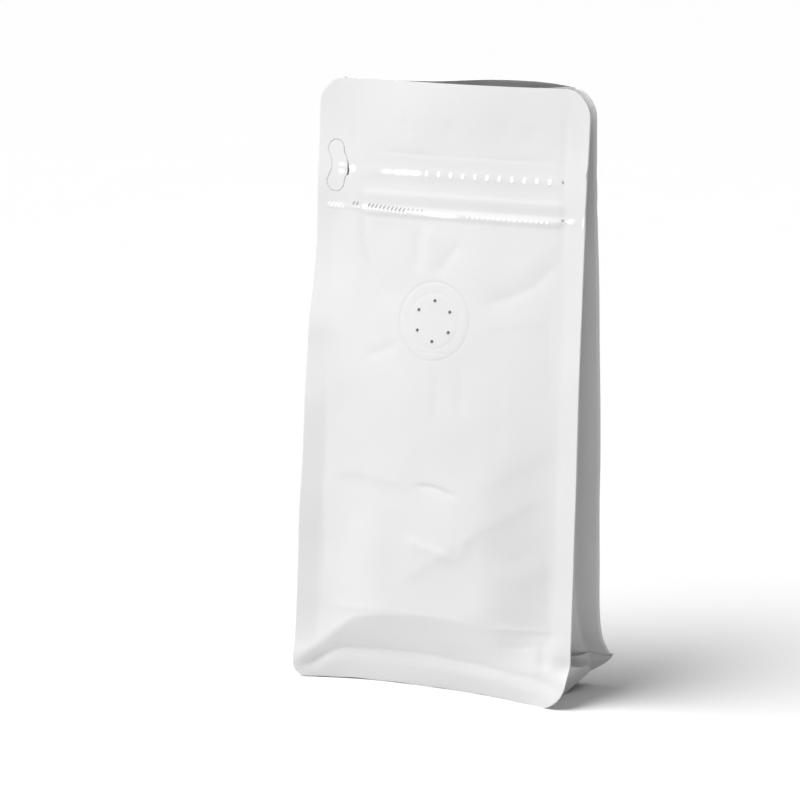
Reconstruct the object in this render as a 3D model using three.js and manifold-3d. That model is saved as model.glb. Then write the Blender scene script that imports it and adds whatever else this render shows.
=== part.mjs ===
// A flat-bottomed pouch of foil laminate with folded sides, empty and standing, its
// mouth a little open. Millimetres, +Z up. The front looks along -Y, with +X to its
// right, and the origin is under the middle of the pouch, on the surface it stands on.
//
// The pouch is one welded piece of film: a front and a back panel, a folded gusset on
// each side, four corner seals that stand out as flat fins, and a bottom panel welded
// in above a skirt. The valve, the zipper, the tear strip and its pull tab are separate.

import * as THREE from 'three';
import { mergeVertices } from 'three/addons/utils/BufferGeometryUtils.js';
import Module from 'manifold-3d';

const wasm = await Module();
wasm.setup();
const { lerp, smoothstep } = THREE.MathUtils;

// ---- driving dimensions ----
const pouchWidth = 96;
const pouchHeight = 190.8;
const sealWidth = 7; // each corner seal, from its edge to the gusset
const gussetHalf = 17; // free film from a corner seal to the fold of a gusset
const film = 0.5; // wall of one layer of film
const cornerRadius = 9;
const tuckedCornerRadius = 4; // the front left corner at the bottom
const skirtHeight = 9.5; // the bottom panel is welded in above this
const bottomRise = 4; // the bottom panel's middle crease stands this much higher
const sideCrease = { z: 12, blend: 8 }; // the gusset stands up to here, then folds in
const sideSkirtBulge = 1.2;
const clearance = 0.3; // between a loose piece and the film round it

const mouthSwell = { front: 3.6, back: 5.2, x: 10, half: 44, from: 148 };
const mouthLift = { height: 1.1, x: 14, half: 32, from: 176 };
const bodySwell = { front: 1.3, back: 3.4, middle: 84, half: 78 };
const skirtInset = { front: 5.2, back: 3, fadeFrom: 13, fadeTo: 30 };
const skirtLift = { height: 1.1, x: -12, reach: 36 }; // the front skirt's edge, off the ground
const brow = { depth: 1.1, z: 23.5, half: 9, reach: 38 }; // swollen fold above the skirt
const pinch = { depth: 1.3, z: 13.6, half: 3.2, reach: 40 }; // crease above the seal

const valve = { x: -2.6, z: 117, radius: 12.2, flange: 1, hub: 8.4, hubDepth: 2.6, slope: 0.4,
  seal: 0.4, sides: 36 }; // seal is how far the film welded to it stands out
const pinholes = { count: 6, circle: 6.3, radius: 0.35, turn: 90 };
const zipper = { left: -29.5, right: 31, low: 146, high: 168, tape: 0.4 };
const track = { left: -23, right: 22, height: 1.6, depth: 1.5, apart: 2.4 };
const bead = { z: 150.5, left: -44.5, right: 44.5, height: 1.9, proud: 0.6 };
const band = { left: -30.5, right: 41, proud: 0.25 }; // the film welded over the zipper
const strip = { z: 162.3, left: -33.4, right: 40, height: 2.4, proud: 0.45, depth: -0.15 };
const dots = { first: -7.9, pitch: 4.33, count: 12, halfWidth: 0.6, halfHeight: 1.25, proud: 0.3 };
const tab = { x: -41.5, z: 163.2, lobe: 3.4, apart: 10, waist: 4.4, proud: 0.1, depth: 0.3 };
const cutReach = 2; // how far a cut starts in front of the film
const liftedCorner = { slopeY: 0.232, slopeX: 0.55, x: 41, y: -3.7 }; // back, right, bottom

const panelColumns = 22;
const gussetColumns = 3;
// Rows of the film body: from this height, this many up to the next.
const skirtRows = { from: 0, count: 2 };
const creaseRows = { from: 8, count: 7 };
const bodyRows = { from: 22, count: 14 };
const zipperRows = { from: 142, count: 9 };

const half = pouchWidth / 2;
const sealLine = half - sealWidth;

// ---- the four corner seams, each a curve of y over z ----
function seamLine(points) {
  const heights = points.map((point) => point[0]);
  const depths = points.map((point) => point[1]);
  const curve = new THREE.CubicInterpolant(heights, depths, 1);
  return (z) => curve.evaluate(THREE.MathUtils.clamp(z, 0, pouchHeight))[0];
}

const frontLeft = seamLine([[0, -18.2], [10, -17.8], [20, -16.2], [50, -14], [88, -10.2],
  [107, -7.8], [122, -4.9], [136, -2.1], [160, -0.6], [pouchHeight, 0.9]]);
const frontRight = seamLine([[0, -18.4], [7, -16.8], [14, -13.9], [30, -12.5], [50, -11.5],
  [105, -8.6], [142, -5.9], [174, -2.9], [pouchHeight, -1.3]]);
const backRight = seamLine([[0, 17.8], [10, 17.6], [17, 11.8], [27, 8.1], [50, 7.4],
  [94, 7], [131, 5.2], [160, 3.2], [pouchHeight, 2.1]]);
const backLeft = seamLine([[0, 17], [10, 16.4], [18, 11.4], [30, 8.6], [60, 7.6],
  [107, 6.6], [140, 5.2], [pouchHeight, 3.4]]);

// ---- the front and back panels ----
// 1 at the centre and 0 from the reach outwards. A higher power has a flatter top.
function hump(value, centre, reach, power = 2) {
  const t = Math.min(Math.abs(value - centre) / reach, 1);
  return (1 - t ** power) ** 2;
}

function frontSwell(x, z) {
  const mouth = mouthSwell.front * hump(x, mouthSwell.x, mouthSwell.half)
    * smoothstep(z, mouthSwell.from, pouchHeight);
  const body = bodySwell.front * hump(x, 0, half) * hump(z, bodySwell.middle, bodySwell.half);
  const skirt = skirtInset.front * hump(x, 0, half, 3)
    * (1 - smoothstep(z, skirtInset.fadeFrom, skirtInset.fadeTo));
  const browFold = brow.depth * hump(x, 0, brow.reach) * hump(z, brow.z, brow.half);
  const pinchFold = pinch.depth * hump(x, 0, pinch.reach) * hump(z, pinch.z, pinch.half);
  return mouth + body - skirt + browFold - pinchFold;
}

function backSwell(x, z) {
  const mouth = mouthSwell.back * hump(x, mouthSwell.x, mouthSwell.half)
    * smoothstep(z, mouthSwell.from, pouchHeight);
  const body = bodySwell.back * hump(x, 0, half) * hump(z, bodySwell.middle, bodySwell.half);
  const skirt = skirtInset.back * hump(x, 0, half)
    * (1 - smoothstep(z, skirtInset.fadeFrom, skirtInset.fadeTo));
  return mouth + body - skirt;
}

const across = (x) => x / pouchWidth + 0.5;
const frontFace = (x, z) => lerp(frontLeft(z), frontRight(z), across(x)) - frontSwell(x, z);
const backFace = (x, z) => lerp(backLeft(z), backRight(z), across(x)) + backSwell(x, z);

// The back panel's rim stands a little higher than the front's where the mouth is open,
// and the lower edge of the front skirt is drawn up off the ground between its corners.
function backRim(x, z) {
  const share = smoothstep(z, mouthLift.from, pouchHeight);
  return z + mouthLift.height * hump(x, mouthLift.x, mouthLift.half) * share;
}

function frontHem(x, z) {
  const share = 1 - smoothstep(z, 0, skirtHeight);
  return z + skirtLift.height * hump(x, skirtLift.x, skirtLift.reach, 4) * share;
}

// ---- a gusset: from the front seal line in to its fold and out to the back seal ----
// side is 1 on the right and -1 on the left. inset is how far the line lies from the
// outer face of the film, towards the inside of the pouch.
function gussetLine(side, z, inset) {
  const front = frontFace(side * sealLine, z) + 2 * film;
  const back = backFace(side * sealLine, z) - 2 * film;
  const halfGap = (back - front) / 2;
  const folded = Math.sqrt(Math.max(gussetHalf ** 2 - halfGap ** 2, 1));
  const standing = -sideSkirtBulge * smoothstep(z, 0, skirtHeight);
  const depth = lerp(standing, folded, smoothstep(z, sideCrease.z, sideCrease.z + sideCrease.blend));
  const line = [];
  for (let step = 0; step <= 2 * gussetColumns; step += 1) {
    const share = step / (2 * gussetColumns);
    const inward = depth * (1 - Math.abs(2 * share - 1));
    const x = side * (sealLine - inset.x - inward);
    const y = lerp(front, back, share);
    if (share <= 0.5) line.push(new THREE.Vector3(x, y - inset.y, z));
    if (share >= 0.5 && (inset.y > 0 || share > 0.5)) {
      line.push(new THREE.Vector3(x, y + inset.y, z));
    }
  }
  return line;
}

// ---- rings round the pouch at one height, anticlockwise from above ----
function panelLine(face, inset, reach, z) {
  const line = [];
  for (let column = 0; column <= panelColumns; column += 1) {
    const x = lerp(-reach, reach, column / panelColumns);
    line.push(new THREE.Vector3(x, face(x, z) + inset, z));
  }
  return line;
}

function outerRing(z) {
  const front = panelLine(frontFace, 0, half, z);
  const back = panelLine(backFace, 0, half, z).reverse();
  const fins = (side) => {
    const frontFin = new THREE.Vector3(side * half, frontFace(side * half, z) + 2 * film, z);
    const backFin = new THREE.Vector3(side * half, backFace(side * half, z) - 2 * film, z);
    const line = [frontFin, ...gussetLine(side, z, { x: 0, y: 0 }), backFin];
    return side > 0 ? line : line.reverse();
  };
  const ring = [...front, ...fins(1), ...back, ...fins(-1)];
  const middle = (frontFace(0, z) + backFace(0, z)) / 2;
  ring.forEach((point) => {
    point.z = point.y > middle ? backRim(point.x, z) : frontHem(point.x, z);
  });
  return ring;
}

function innerRing(z, wall, inset) {
  const reach = sealLine - wall;
  const front = panelLine(frontFace, wall, reach, z);
  const back = panelLine(backFace, -wall, reach, z).reverse();
  const right = gussetLine(1, z, inset).slice(1, -1);
  const left = gussetLine(-1, z, inset).slice(1, -1).reverse();
  return [...front, ...right, ...back, ...left];
}

// ---- solids ----
function loft(rings) {
  const count = rings[0].length;
  const triangles = [];
  for (let ring = 0; ring < rings.length - 1; ring += 1) {
    for (let point = 0; point < count; point += 1) {
      const a = ring * count + point;
      const b = ring * count + ((point + 1) % count);
      triangles.push(a, b, b + count, a, b + count, a + count);
    }
  }
  const flat = (ring) => ring.map((point) => new THREE.Vector2(point.x, point.y));
  const last = (rings.length - 1) * count;
  THREE.ShapeUtils.triangulateShape(flat(rings[0]), []).forEach(([a, b, c]) => {
    triangles.push(c, b, a);
  });
  THREE.ShapeUtils.triangulateShape(flat(rings.at(-1)), []).forEach(([a, b, c]) => {
    triangles.push(a + last, b + last, c + last);
  });
  const geometry = new THREE.BufferGeometry().setFromPoints(rings.flat());
  geometry.setIndex(triangles);
  return geometry;
}

function solidOf(geometry) {
  const bare = geometry.clone();
  bare.deleteAttribute('normal');
  bare.deleteAttribute('uv');
  const closed = mergeVertices(bare, 1e-4);
  return new wasm.Manifold(new wasm.Mesh({
    numProp: 3,
    vertProperties: new Float32Array(closed.attributes.position.array),
    triVerts: new Uint32Array(closed.index.array),
  }));
}

function geometryOf(solid) {
  const mesh = solid.getMesh();
  const geometry = new THREE.BufferGeometry();
  geometry.setAttribute('position', new THREE.BufferAttribute(mesh.vertProperties, 3));
  geometry.setIndex(new THREE.BufferAttribute(mesh.triVerts, 1));
  geometry.computeVertexNormals();
  return geometry;
}

// Shapes for the front are made flat, with y as the depth below the film's face, and
// are then bent to lie on the panel.
function bendToFront(geometry) {
  const position = geometry.attributes.position;
  for (let i = 0; i < position.count; i += 1) {
    const depth = position.getY(i);
    position.setY(i, depth + frontFace(position.getX(i), position.getZ(i)));
  }
  return geometry;
}

function bar(left, right, low, high, outer, inner, columns, rows) {
  const geometry = new THREE.BoxGeometry(right - left, inner - outer, high - low, columns, 1, rows);
  geometry.translate((left + right) / 2, (outer + inner) / 2, (low + high) / 2);
  return bendToFront(geometry);
}

function disc(radius, outer, inner, sides) {
  const geometry = new THREE.CylinderGeometry(radius, radius, inner - outer, sides);
  geometry.translate(valve.x, (outer + inner) / 2, valve.z);
  return bendToFront(geometry);
}

function plate(shape, outer, inner) {
  const geometry = new THREE.ExtrudeGeometry(shape, {
    depth: inner - outer, bevelEnabled: false, curveSegments: 6,
  });
  geometry.rotateX(Math.PI / 2);
  geometry.translate(0, inner, 0);
  return bendToFront(geometry);
}

// ---- the film body ----
function heights(rows, to) {
  return Array.from({ length: rows.count }, (_, row) => lerp(rows.from, to, row / rows.count));
}

const allHeights = [
  ...heights(skirtRows, creaseRows.from),
  ...heights(creaseRows, bodyRows.from),
  ...heights(bodyRows, zipperRows.from),
  ...heights(zipperRows, pouchHeight),
  pouchHeight,
];

// The bottom panel as shrinking rings: level at its weld, with a raised middle crease.
function bottomRings(wall, inset, level) {
  const edge = innerRing(level, wall, inset);
  return [1, 0.7, 0.4, 0.1].map((share) => edge.map((point) => new THREE.Vector3(
    point.x * lerp(0.8, 1, share),
    point.y * share,
    level + bottomRise * (1 - share),
  )));
}

function hollow() {
  const inset = { x: film, y: film };
  const level = skirtHeight + film;
  const walls = allHeights.filter((z) => z > level + 1).map((z) => innerRing(z, film, inset));
  const top = innerRing(pouchHeight, film, inset);
  top.forEach((point) => { point.z += 3 * mouthLift.height; });
  return loft([...bottomRings(film, inset, level).reverse(), ...walls, top]);
}

function underside() {
  const wall = 2 * film;
  const inset = { x: wall, y: 0 };
  const walls = allHeights.filter((z) => z < skirtHeight - 1).map((z) => innerRing(z, wall, inset));
  const below = walls[0].map((point) => point.clone().setZ(-1));
  return loft([below, ...walls, ...bottomRings(wall, inset, skirtHeight)]);
}

// What the die cuts away outside one rounded corner, through front and back together.
function cornerWaste(side, atTop, radius) {
  const beyond = 2;
  const shape = new THREE.Shape();
  shape.moveTo(half + beyond, -beyond);
  shape.lineTo(half - radius, -beyond);
  shape.lineTo(half - radius, 0);
  shape.absarc(half - radius, radius, radius, -Math.PI / 2, 0, false);
  shape.lineTo(half + beyond, radius);
  const depth = pouchWidth;
  const geometry = new THREE.ExtrudeGeometry(shape, { depth, bevelEnabled: false, curveSegments: 6 });
  geometry.rotateX(Math.PI / 2);
  geometry.translate(0, depth / 2, 0);
  const solid = solidOf(geometry);
  const placed = side > 0 ? solid : solid.mirror([1, 0, 0]);
  return atTop ? placed.mirror([0, 0, 1]).translate([0, 0, pouchHeight]) : placed;
}

// The skirt's back right corner doesn't reach the ground: its edge rises to the corner.
function liftedCornerWaste() {
  const size = 60;
  const geometry = new THREE.BoxGeometry(size, size, size, 1, 1, 1);
  geometry.translate(0, 0, -size / 2);
  const up = new THREE.Vector3(-liftedCorner.slopeX, -liftedCorner.slopeY, 1).normalize();
  const vertical = new THREE.Vector3(0, 0, 1);
  geometry.applyQuaternion(new THREE.Quaternion().setFromUnitVectors(vertical, up));
  geometry.translate(liftedCorner.x, liftedCorner.y, 0);
  return solidOf(geometry);
}

function pinhole(index) {
  const angle = THREE.MathUtils.degToRad(pinholes.turn + (index * 360) / pinholes.count);
  const x = valve.x + pinholes.circle * Math.cos(angle);
  const z = valve.z + pinholes.circle * Math.sin(angle);
  const geometry = new THREE.CylinderGeometry(pinholes.radius, pinholes.radius, 3, 8);
  geometry.translate(x, frontFace(x, z), z);
  return solidOf(geometry);
}

function tabOutline(grow) {
  const radius = tab.lobe + grow;
  const waist = tab.waist / 2 + grow;
  const rise = tab.apart / 2;
  const shape = new THREE.Shape();
  shape.absarc(tab.x, tab.z + rise, radius, -Math.PI / 6, Math.PI + Math.PI / 6, false);
  shape.quadraticCurveTo(tab.x - waist, tab.z, tab.x - radius * Math.cos(Math.PI / 6),
    tab.z - rise + radius * 0.5);
  shape.absarc(tab.x, tab.z - rise, radius, Math.PI - Math.PI / 6, 2 * Math.PI + Math.PI / 6, false);
  shape.quadraticCurveTo(tab.x + waist, tab.z, tab.x + radius * Math.cos(Math.PI / 6),
    tab.z + rise - radius * 0.5);
  return shape;
}

function pouch() {
  let solid = solidOf(loft(allHeights.map(outerRing)));
  const beadBar = bar(bead.left, bead.right, bead.z - bead.height / 2, bead.z + bead.height / 2,
    -bead.proud, film / 2, 24, 1);
  const bandBar = bar(band.left, band.right, zipper.low, zipper.high, -band.proud, film / 2, 16, 5);
  solid = solid.add(solidOf(bandBar)).add(solidOf(beadBar));
  solid = solid.add(solidOf(disc(valve.radius, -valve.seal, film / 2, valve.sides)));
  solid = solid.subtract(solidOf(hollow()));
  solid = solid.subtract(solidOf(underside()));
  const corners = [
    cornerWaste(1, false, cornerRadius),
    cornerWaste(-1, false, tuckedCornerRadius),
    cornerWaste(1, true, cornerRadius),
    cornerWaste(-1, true, cornerRadius),
  ];
  corners.forEach((waste) => { solid = solid.subtract(waste); });
  solid = solid.subtract(liftedCornerWaste());
  for (let index = 0; index < pinholes.count; index += 1) solid = solid.subtract(pinhole(index));
  solid = solid.subtract(solidOf(plate(tabOutline(clearance), -cutReach, tab.depth + clearance)));
  const slot = bar(strip.left - clearance, strip.right + clearance,
    strip.z - strip.height / 2 - clearance, strip.z + strip.height / 2 + clearance,
    -cutReach, strip.depth + clearance, 12, 1);
  solid = solid.subtract(solidOf(slot));
  return geometryOf(solid);
}

// ---- the pieces on the film ----
function valveBody() {
  const outer = film + clearance;
  const profile = [
    new THREE.Vector2(0, outer),
    new THREE.Vector2(valve.radius, outer),
    new THREE.Vector2(valve.radius - valve.slope, outer + valve.flange),
    new THREE.Vector2(valve.hub + valve.slope, outer + valve.flange),
    new THREE.Vector2(valve.hub, outer + valve.hubDepth),
    new THREE.Vector2(0, outer + valve.hubDepth),
  ];
  const geometry = new THREE.LatheGeometry(profile, valve.sides);
  geometry.translate(valve.x, 0, valve.z);
  return bendToFront(geometry);
}

function zipperTape() {
  const outer = film + clearance;
  const inner = outer + zipper.tape;
  const tape = solidOf(bar(zipper.left, zipper.right, zipper.low, zipper.high, outer, inner, 18, 4));
  const rail = (z) => solidOf(bar(track.left, track.right, z - track.height / 2,
    z + track.height / 2, inner - zipper.tape / 2, inner + track.depth, 12, 1));
  const lower = rail(bead.z - track.apart / 2);
  const upper = rail(bead.z + track.apart / 2);
  return geometryOf(tape.add(lower).add(upper));
}

function tearStrip() {
  const low = strip.z - strip.height / 2;
  const high = strip.z + strip.height / 2;
  let solid = solidOf(bar(strip.left, strip.right, low, high, -strip.proud, strip.depth, 12, 1));
  for (let index = 0; index < dots.count; index += 1) {
    const dot = new THREE.SphereGeometry(1, 6, 4);
    dot.scale(dots.halfWidth, dots.proud, dots.halfHeight);
    dot.translate(dots.first + index * dots.pitch, -strip.proud, strip.z);
    solid = solid.add(solidOf(bendToFront(dot)));
  }
  return geometryOf(solid);
}

const pullTab = () => plate(tabOutline(0), -tab.proud, tab.depth);

// ---- the model ----
const finishes = {
  film: { color: 0xececec, roughness: 0.5, metalness: 0 },
  valve: { color: 0xf2f2f0, roughness: 0.45, metalness: 0 },
  zipper: { color: 0xf4f4f4, roughness: 0.35, metalness: 0 },
};

function piece(name, geometry, finish) {
  const mesh = new THREE.Mesh(geometry, new THREE.MeshStandardMaterial(finish));
  mesh.name = name;
  return mesh;
}

const group = new THREE.Group();
group.add(
  piece('pouch', pouch(), finishes.film),
  piece('degassing_valve', valveBody(), finishes.valve),
  piece('zipper_tape', zipperTape(), finishes.zipper),
  piece('tear_strip', tearStrip(), finishes.film),
  piece('pull_tab', pullTab(), finishes.film),
);

export default group;
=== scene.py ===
import math

import bmesh
import bpy
import numpy as np
from mathutils import Matrix, Vector


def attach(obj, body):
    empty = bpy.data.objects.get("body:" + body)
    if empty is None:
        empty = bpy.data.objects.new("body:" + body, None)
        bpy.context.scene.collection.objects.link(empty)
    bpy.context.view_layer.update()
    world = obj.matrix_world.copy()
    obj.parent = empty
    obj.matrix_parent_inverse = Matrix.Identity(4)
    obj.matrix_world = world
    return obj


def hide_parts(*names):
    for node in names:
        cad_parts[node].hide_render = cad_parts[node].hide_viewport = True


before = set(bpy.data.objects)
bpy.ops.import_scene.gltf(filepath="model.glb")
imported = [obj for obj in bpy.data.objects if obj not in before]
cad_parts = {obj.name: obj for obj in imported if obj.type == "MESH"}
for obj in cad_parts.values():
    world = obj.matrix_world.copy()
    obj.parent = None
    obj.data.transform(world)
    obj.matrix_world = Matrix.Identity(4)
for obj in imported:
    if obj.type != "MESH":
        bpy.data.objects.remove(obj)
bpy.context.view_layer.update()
print("frame loaded")

# Shapes are worked out in millimetres and made metres when a piece is finished.
# +Z is up, the front panel looks along -Y, and +X is to its right.

# Sizes of the pouch.
pouch = {
    "width": 96.0,
    "height": 190.8,
    "seal": 7.0,            # width of the four corner fins
    "gusset": 17.0,         # free film from a fin to the gusset's fold
    "film": 0.2,
    "finThickness": 0.5,    # both layers of film in a fin
    "corner": 9.0,          # radius of the die-cut corners
    "tuckedCorner": 4.0,    # bottom front left
    "backCorner": 4.6,      # bottom back right, folded to a point
    "skirt": 9.5,           # the bottom panel is welded in above this
}
halfWidth = pouch["width"] / 2
sealLine = halfWidth - pouch["seal"]
topZ = pouch["height"]
cornerTop = topZ - pouch["corner"]
toMetres = 0.001
mergeWithin = 0.002


# Small maths on arrays.
def smoothStep(value, low, high):
    t = np.clip((value - low) / (high - low), 0, 1)
    return t * t * (3 - 2 * t)


def hump(value, centre, reach, power=2):
    t = np.minimum(np.abs(value - centre) / reach, 1)
    return (1 - t ** power) ** 2


def bell(value, centre, width):
    return np.exp(-((value - centre) / width) ** 2)


def blend(a, b, share):
    return a + (b - a) * share


def smoothLine(points):
    at, height = np.array(points, float).T
    slope = np.gradient(height, at)

    def read(value):
        value = np.clip(value, at[0], at[-1])
        i = np.clip(np.searchsorted(at, value) - 1, 0, len(at) - 2)
        step = at[i + 1] - at[i]
        t = (value - at[i]) / step
        return (height[i] * (1 + 2 * t) * (1 - t) ** 2 + slope[i] * step * t * (1 - t) ** 2
                + height[i + 1] * t * t * (3 - 2 * t) + slope[i + 1] * step * t * t * (t - 1))
    return read


def distanceTo(x, z, line):
    # distance to a line through points, which side of it, and how far along it
    best = np.full(np.shape(x), 1e9)
    side = np.ones(np.shape(x))
    along = np.zeros(np.shape(x))
    lengths = [math.dist(a, b) for a, b in zip(line, line[1:])]
    run = 0.0
    for (ax, az), (bx, bz), length in zip(line, line[1:], lengths):
        dx, dz = (bx - ax) / length, (bz - az) / length
        t = np.clip((x - ax) * dx + (z - az) * dz, 0, length)
        gap = np.hypot(x - ax - t * dx, z - az - t * dz)
        near = gap < best
        best = np.where(near, gap, best)
        side = np.where(near, np.sign(dx * (z - az) - dz * (x - ax)), side)
        along = np.where(near, (run + t) / sum(lengths), along)
        run += length
    return best, side, along


# The four corner seams: depth y over height z.
frontLeft = smoothLine([
    (0, -17.9), (6, -18.5), (11, -17.3), (21, -16.1), (30, -15.4), (41, -14.6), (50, -14.2),
    (60, -13.1), (69, -11.8), (79, -10.9), (88, -10.2), (98, -9.0), (107, -7.8), (112, -7.3),
    (121, -5.2), (126, -4.0), (136, -2.1), (145, -1.3), (159, -0.9), (168, 0.1), (181, 0.8), (191, 0.9)
])
frontRight = smoothLine([
    (0, -18.0), (5, -17.4), (9, -16.2), (13, -13.6), (17, -13.3), (22, -12.9), (31, -12.4), (41, -11.8),
    (50, -11.4), (68, -10.3), (87, -9.5), (106, -8.5), (124, -7.2), (147, -5.5), (160, -4.6),
    (174, -2.8), (191, -1.4)
])
backRight = smoothLine([
    (0, 17.4), (4.6, 17.7), (6.5, 17.0), (9, 15.8), (13.2, 13.8), (16.7, 10.8), (21.5, 8.8), (27, 7.9),
    (41, 7.5), (51, 7.2), (61, 7.0), (75, 7.3), (90, 7.0), (113, 5.9), (131, 5.2), (150, 3.7),
    (160, 3.1), (181, 2.3), (191, 2.1)
])
backLeft = smoothLine([
    (0, 17.0), (10, 16.4), (18, 11.4), (30, 8.6), (60, 7.6), (107, 6.6), (140, 5.2), (191, 3.4)
])

# The front panel. frontCalm is its depth away from the wavier left seam.
frontCalm = smoothLine([
    (0, -17.9), (21, -16.1), (60, -13.0), (98, -9.2), (128, -4.6), (159, -1.1), (191, 0.9)
])
front = {
    "calmFrom": (4, 18),
    "mouthSwell": 3.6, "mouthX": 10, "mouthHalf": 44, "mouthFrom": 148,
    "bodySwell": 2.6, "bodyHalfX": 44, "bodyMiddle": 84, "bodyHalf": 80,
    # how far the film sinks back just inside the fins, and where that fades
    "finFlareLeft": 1.4, "finFlareRight": 1.0, "finFlareTop": 0.2, "flareAcross": (-25, 25),
    "flareFrom": (3, 22), "flareEndsLeft": (62, 104), "flareEndsRight": (120, 170),
    "valleyDepth": 2.00, "valleyTall": 5.0, "valleyCurve": 1.7, "archCurve": 0.15, "leanOver": 10,
    "bellyLeft": 3.4, "bellyRight": 4.2, "bellyAcross": (-30, 30), "bellyTop": 112,
    "bellyStart": 0.6, "bellyEdge": 25,
    "hemWave": 0.10, "hemWaveTurns": 0.42, "hemWaveTall": 5,
}
# the hem on the ground: its depth, and how far the left end is off the ground
hemDepth = smoothLine([
    (-48, -17.9), (-43, -16.7), (-38, -14.8), (-32, -12.8), (-25, -11.3), (-12, -10.2), (0, -10.0),
    (12, -10.7), (24, -12.6), (34, -14.9), (42, -17.0), (48, -18.4)
])
hemRise = smoothLine([(-48, 0.5), (-40, 0.4), (-28, 0.25), (-12, 0.12), (5, 0.05), (20, 0), (48, 0)])
# how far the skirt leans out over the height "leanOver"
skirtLean = smoothLine([(-48, 1.9), (-20, 2.2), (8, 3.6), (26, 4.1), (34, 3.0), (41, 1.4), (48, 0.8)])
# the crease over the bottom seal, and the arch above it where the panel swells out
valleyLine = smoothLine([
    (-48, 1.8), (-45, 3.6), (-40.6, 6.4), (-37, 8.8), (-34, 10.1), (-26.6, 10.6), (-17, 11.0),
    (-1.5, 10.9), (9.4, 10.5), (24, 9.8), (31.6, 8.9), (38, 8.4), (42, 7.2), (48, 4.5)
])
archLine = smoothLine([
    (-48, 6), (-41, 10.5), (-37, 14.3), (-31, 18.8), (-26.9, 21.2), (-21, 22.6), (-5.4, 24.4),
    (14.5, 24.2), (30, 22.6), (48, 21.8)
])

# Folds of the front panel. Each is a line of (x, z) points, how far its crest comes forward,
# negative for a valley, how quickly it dies away, and how quickly above the line if that differs.
frontFolds = [
    ([(-30.2, 158), (-30.3, 148), (-30.0, 142), (-26.7, 132.8), (-20.7, 124.9), (-14.5, 118.5)],
     -0.46, 1.2),
    ([(-34, 136), (-30.5, 126), (-25, 119), (-17, 113)], 0.14, 3.2),
    ([(-10.4, 146.5), (-10, 138), (-9.3, 130.5)], -0.32, 1.4),
    ([(-5.9, 147), (-5.6, 139), (-5.0, 132)], 0.24, 1.5),
    ([(5.5, 142), (0.6, 136.5), (-2.4, 131)], -0.32, 1.5),
    ([(41, 139.7), (30.7, 129.7), (21, 125.1), (11.5, 122.9)], -0.36, 1.8),
    ([(41, 147), (30, 137), (20, 131)], 0.15, 3.4),
    ([(10.5, 116), (26.7, 118.3), (41, 121)], 0.16, 1.8, 5),
    ([(-13.3, 109.9), (-20, 106.8), (-27, 103.6)], -0.28, 1.3),
    ([(-0.5, 104.5), (0.4, 94), (-0.4, 84)], -0.14, 1.1),
    ([(7.5, 106), (8.6, 95), (8, 86)], -0.12, 1.0),
    ([(-35, 108), (-33.5, 92), (-35, 80)], -0.16, 2.0),
    ([(20, 104), (22, 88), (20, 72)], -0.18, 2.4),
    ([(38.5, 130), (36.5, 118), (38, 104), (36.8, 92)], -0.14, 1.6),
    ([(-38.5, 66.4), (-30, 67.6), (-20.8, 67.6), (-11.4, 65.8), (-5.5, 63.9)], 0.42, 1.8, 10),
    ([(-34, 60), (-24, 61), (-14, 57.5), (-11, 53)], 0.16, 2.6),
    ([(-6.6, 65.0), (-4.4, 65.8), (0.7, 65.8), (5.7, 64.5), (9.6, 62.9)], -0.46, 1.5, 0.42),
    ([(-9.5, 48.9), (-7.2, 48.2), (-0.7, 46.4), (6.7, 44.6), (11.3, 43.4)], 0.50, 2.2, 1.0),
    ([(11.3, 43.4), (12.3, 49), (14.5, 52)], 0.22, 1.0),
    ([(-16.5, 30.5), (-1.3, 40.9), (11.8, 50.2), (26.7, 59.2), (41, 68.5)], 0.42, 2.4, 8),
    ([(12, 62), (24, 71), (40, 82)], 0.16, 2.4, 6),
    ([(20, 41), (30, 39), (41, 45)], 0.20, 2.6),
    ([(20, 50), (27, 44), (40, 52)], -0.16, 2.4),
    ([(37.5, 52), (38.5, 44), (39.5, 33), (39.5, 24)], -0.10, 0.9),
    ([(21.5, 23.3), (28.7, 22.9), (41, 23)], 0.34, 0.8),
    ([(12, 24.9), (18, 24.2), (22, 23.0)], -0.20, 0.8),
    ([(24, 18.4), (30, 17.2), (37, 18.8)], -0.35, 1.6),
    ([(37.6, 20.5), (38.9, 15.5), (40.2, 11)], -0.28, 1.1),
    ([(35.5, 16), (37.3, 12.5), (38.5, 9.5)], 0.22, 1.0),
    ([(-40, 24.8), (-30, 24.2), (-20, 25.2), (-8, 26.4)], 0.16, 1.1),
    ([(-44, 4.2), (-40, 9.0), (-34, 15.0), (-27, 20.8)], 0.20, 0.9),
    ([(-36, 183), (-34.6, 176), (-34, 169)], -0.18, 0.9),
    ([(-17.5, 180), (-15, 176.5), (-13.6, 173)], -0.20, 1.2),
    ([(0.2, 180), (1, 174)], -0.14, 1.1),
    ([(19.6, 179.5), (19.3, 173.5)], -0.12, 1.2),
    ([(29, 180), (29, 172.5)], -0.16, 1.8),
    ([(-33.5, 168.6), (-10, 168.1), (20, 168.2), (41, 168.0)], -0.10, 0.7),
    ([(-40.4, 104), (-40.3, 63), (-39.3, 44), (-38.9, 22)], -0.16, 0.9),
    ([(40.4, 189), (40.2, 170), (40.6, 152), (40.5, 130)], -0.20, 0.7),
]

# The zipper pushes the film out: how far over height, from below the bead to above the tape.
zipperSwell = smoothLine([
    (143.5, 0), (146.2, 0.02), (148.2, 0.10), (149.2, 0.40), (150.1, 0.46), (150.9, 0.24),
    (151.6, 0.08), (152.8, 0.14), (154.8, 0.32), (155.5, 0.30), (156.2, 0.11), (157.2, 0.03),
    (160.6, 0.03), (161.4, 0.10), (163.2, 0.10), (164.2, 0.03), (167.4, 0.02), (169.0, 0)
])
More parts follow.
